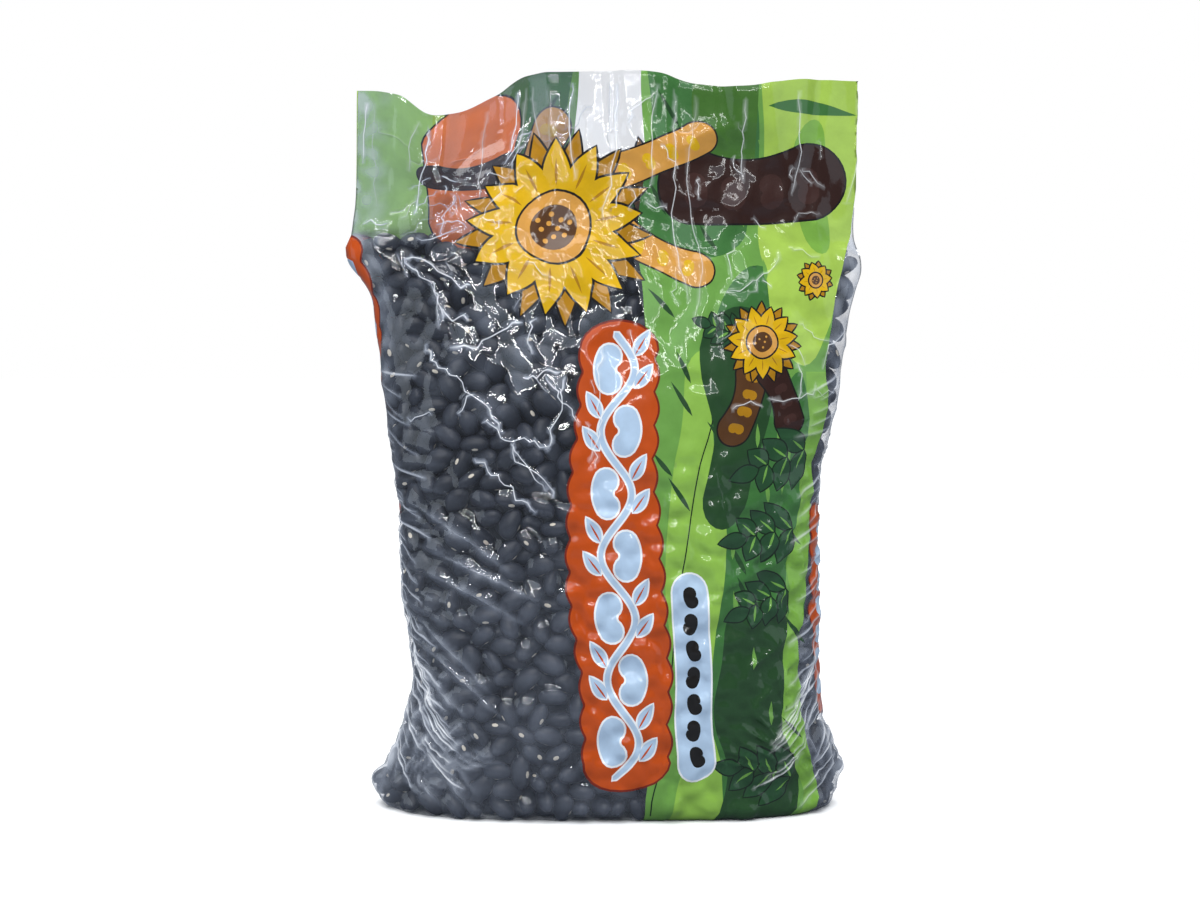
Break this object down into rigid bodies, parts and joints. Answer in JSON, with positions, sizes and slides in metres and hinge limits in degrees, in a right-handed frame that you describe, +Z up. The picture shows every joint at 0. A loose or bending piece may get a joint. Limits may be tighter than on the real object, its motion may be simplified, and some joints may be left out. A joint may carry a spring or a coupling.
{
  "type": "bag of dried beans",
  "caption": "Clear film pillow bag filled with dried black beans, standing on its flattened lower end, with a crinkled empty head above the fill.",
  "frame": {"origin": "middle of the bounding box of the bag, at the flat foot that it stands on", "axes": "+X across the front from its left edge to its right edge, +Y from the front to the back, +Z up to the welded top edge"},
  "size_m": [0.1742, 0.0576, 0.2524],
  "materials": {
    "beans_in_film": "black beans with a dull skin, seen through glossy clear film"
  },
  "bodies": {
    "root": {"bean_bag": "beans_in_film"}
  },
  "joints": []
}
